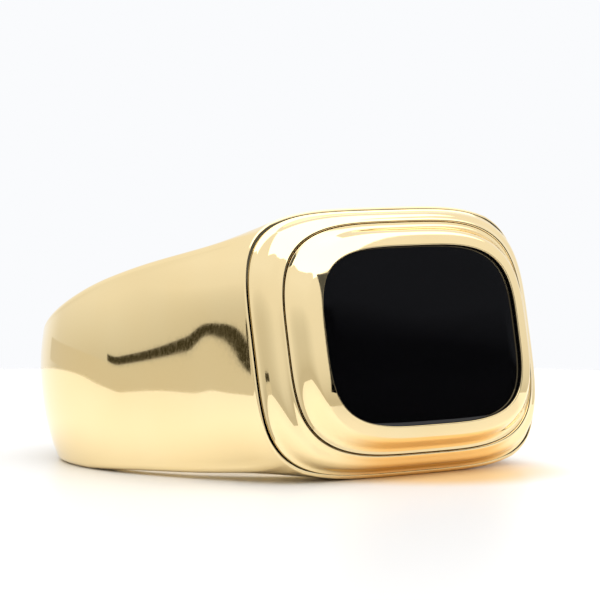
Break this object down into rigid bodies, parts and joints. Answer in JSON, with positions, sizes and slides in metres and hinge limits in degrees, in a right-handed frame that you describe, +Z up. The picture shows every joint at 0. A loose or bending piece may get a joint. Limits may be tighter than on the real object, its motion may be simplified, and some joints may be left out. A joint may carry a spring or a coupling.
{
  "type": "signet ring",
  "caption": "Tapered signet ring lying on its side, with a stepped cushion-shaped head and a flat black onyx tablet in a rubbed-over bezel.",
  "frame": {"origin": "middle of the object's box, on the surface that it lies on", "axes": "+Z up from the surface that the ring lies on, close to the finger's axis; -Y out through the stone, tipped up by the shank's taper of about 11 degrees; X round the finger, across the head"},
  "size_m": [0.0238, 0.0266, 0.014],
  "materials": {
    "gold": "mirror polished yellow gold",
    "onyx": "glossy polish",
    "cement": "set jeweller's cement, satin"
  },
  "bodies": {
    "root": {"shank": "gold", "step_frame": "gold", "bezel": "gold", "seat_plate": "gold", "cement_bed": "cement", "onyx": "onyx"}
  },
  "joints": []
}
